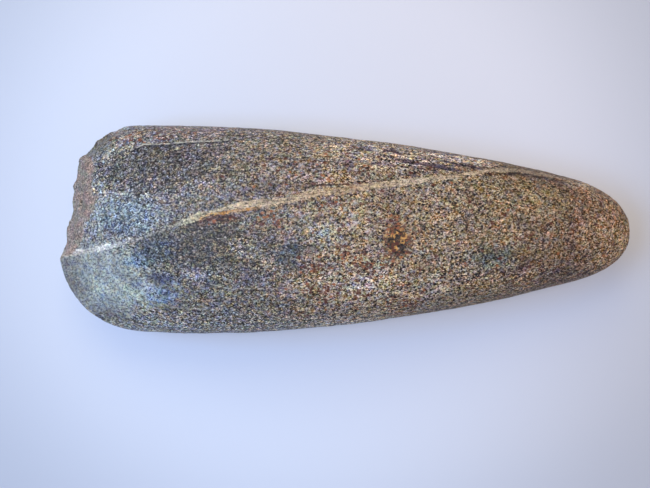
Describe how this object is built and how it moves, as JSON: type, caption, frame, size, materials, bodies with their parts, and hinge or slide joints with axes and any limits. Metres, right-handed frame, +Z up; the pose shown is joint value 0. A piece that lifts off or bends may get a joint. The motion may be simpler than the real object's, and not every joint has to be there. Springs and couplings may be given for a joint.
{
  "type": "polished stone axe head",
  "caption": "Ground and polished stone axe head without a haft: broad curved blade with a chipped cutting edge, oval body tapering to a rounded butt.",
  "frame": {"origin": "on the ground under the middle of the stone's bounding box, with the axe head lying on the flat of its belly", "axes": "+X along the length, from the cutting edge to the butt; +Y across the blade; +Z up, through the thickness"},
  "size_m": [0.1808, 0.066, 0.042],
  "materials": {
    "stone": "satin"
  },
  "bodies": {
    "root": {"axe_head": "stone"}
  },
  "joints": []
}
